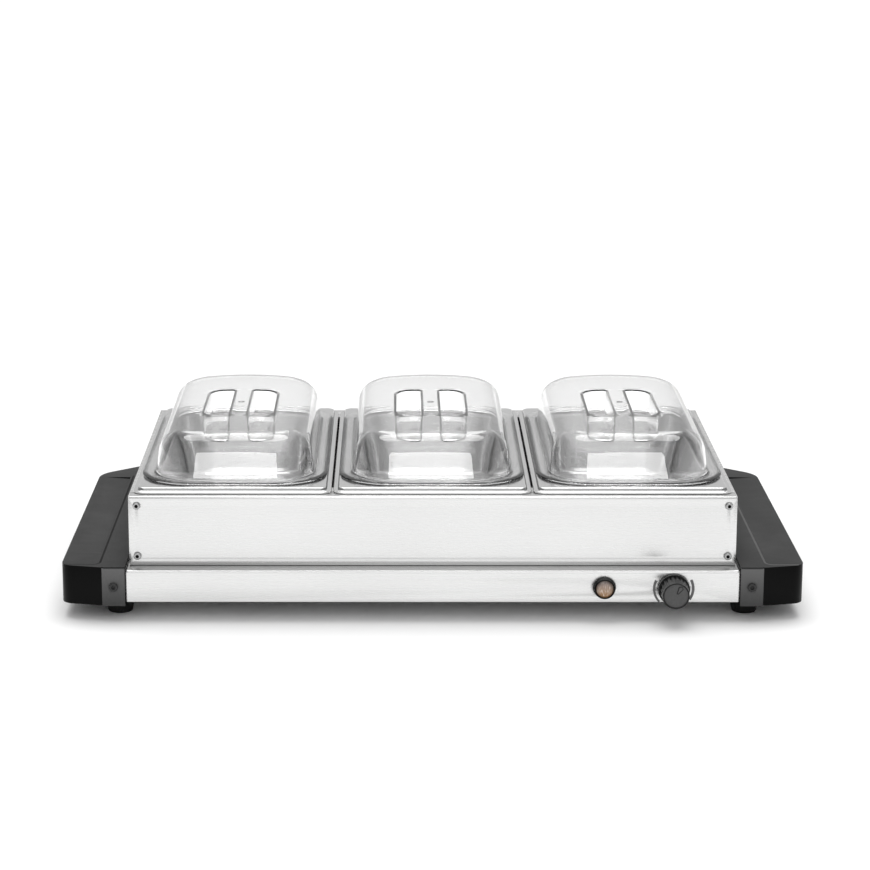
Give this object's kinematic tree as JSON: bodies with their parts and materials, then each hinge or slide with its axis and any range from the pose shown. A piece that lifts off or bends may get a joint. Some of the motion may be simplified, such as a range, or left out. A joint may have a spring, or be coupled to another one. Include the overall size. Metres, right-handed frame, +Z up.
{
  "type": "buffet food warmer",
  "caption": "Electric food warmer: a heated steel base with end handles, knob and pilot lamp, a lift-off frame, steel food pans and clear domed lids.",
  "frame": {"origin": "on the floor, under the middle of the bounding box", "axes": "+X along the length to the right, front with the knob at -Y, +Z up"},
  "size_m": [0.657, 0.398, 0.1568],
  "materials": {
    "stainless_satin": "satin brushed stainless sheet, grain along the length",
    "stainless_pan": "drawn stainless, satin on the rim",
    "clear_plastic": "clear polycarbonate, polished",
    "galvanised_steel": "zinc coated sheet and hardware",
    "black_plastic": "heat proof black moulding, lightly textured",
    "knob_plastic": "black phenolic",
    "knob_face": "dark grey cap with a pointer",
    "foot_rubber": "black rubber",
    "screw_steel": "bright stainless screws",
    "screw_black": "blackened screws",
    "spreader_aluminium": "mill finish plate",
    "element_sheath": "oxidised steel sheath",
    "mineral_wool": "mineral fibre board",
    "switch_plastic": "moulded switch housing",
    "copper_tube": "drawn copper tube",
    "amber_lens": "translucent amber",
    "terminal_plastic": "ivory ceramic look",
    "brass_stud": "plain brass",
    "lead_insulation": "silicone sleeved leads"
  },
  "bodies": {
    "base": {"base_shell": "stainless_satin", "bottom_cover": "galvanised_steel", "cover_screws": "screw_steel", "end_bracket_left": "galvanised_steel", "end_bracket_right": "galvanised_steel", "bracket_rivets": "galvanised_steel", "handle_left": "black_plastic", "handle_right": "black_plastic", "handle_screws": "screw_black", "foot_front_left": "foot_rubber", "foot_front_right": "foot_rubber", "foot_rear_left": "foot_rubber", "foot_rear_right": "foot_rubber", "foot_screws": "screw_steel", "heat_spreader": "spreader_aluminium", "heating_element": "element_sheath", "element_clips": "galvanised_steel", "insulation_pad": "mineral_wool", "thermal_cutout": "switch_plastic", "thermostat_body": "switch_plastic", "thermostat_screws": "galvanised_steel", "capillary": "copper_tube", "lamp_bezel": "black_plastic", "lamp_lens": "amber_lens", "lamp_body": "black_plastic", "lamp_nut": "black_plastic", "cord_gland": "black_plastic", "gland_nut": "black_plastic", "terminal_block": "terminal_plastic", "earth_stud": "brass_stud", "inside_leads": "lead_insulation"},
    "frame": {"frame_front_panel": "stainless_satin", "frame_rear_panel": "stainless_satin", "frame_side_left": "stainless_satin", "frame_side_right": "stainless_satin", "crossbar_left": "stainless_satin", "crossbar_right": "stainless_satin", "frame_screws": "screw_steel", "frame_nuts": "galvanised_steel"},
    "pan_left": {"pan_left": "stainless_pan"},
    "pan_middle": {"pan_middle": "stainless_pan"},
    "pan_right": {"pan_right": "stainless_pan"},
    "lid_left": {"lid_left": "clear_plastic"},
    "lid_middle": {"lid_middle": "clear_plastic"},
    "lid_right": {"lid_right": "clear_plastic"},
    "knob": {"thermostat_shaft": "screw_steel", "knob": "knob_plastic", "knob_cap": "knob_face"}
  },
  "joints": [
    {"name": "frame_lift", "type": "slide", "parent": "base", "child": "frame", "axis": [0, 0, 1], "range_m": [0, 0.08]},
    {"name": "pan_lift_left", "type": "slide", "parent": "frame", "child": "pan_left", "axis": [0, 0, 1], "range_m": [0, 0.09]},
    {"name": "pan_lift_middle", "type": "slide", "parent": "frame", "child": "pan_middle", "axis": [0, 0, 1], "range_m": [0, 0.09]},
    {"name": "pan_lift_right", "type": "slide", "parent": "frame", "child": "pan_right", "axis": [0, 0, 1], "range_m": [0, 0.09]},
    {"name": "lid_lift_left", "type": "slide", "parent": "pan_left", "child": "lid_left", "axis": [0, 0, 1], "range_m": [0, 0.1]},
    {"name": "lid_lift_middle", "type": "slide", "parent": "pan_middle", "child": "lid_middle", "axis": [0, 0, 1], "range_m": [0, 0.1]},
    {"name": "lid_lift_right", "type": "slide", "parent": "pan_right", "child": "lid_right", "axis": [0, 0, 1], "range_m": [0, 0.1]},
    {"name": "knob_turn", "type": "hinge", "parent": "base", "child": "knob", "pos_m": [0.2125, -0.176, 0.0297], "axis": [0, 1, 0], "range_deg": [-170, 100]}
  ]
}
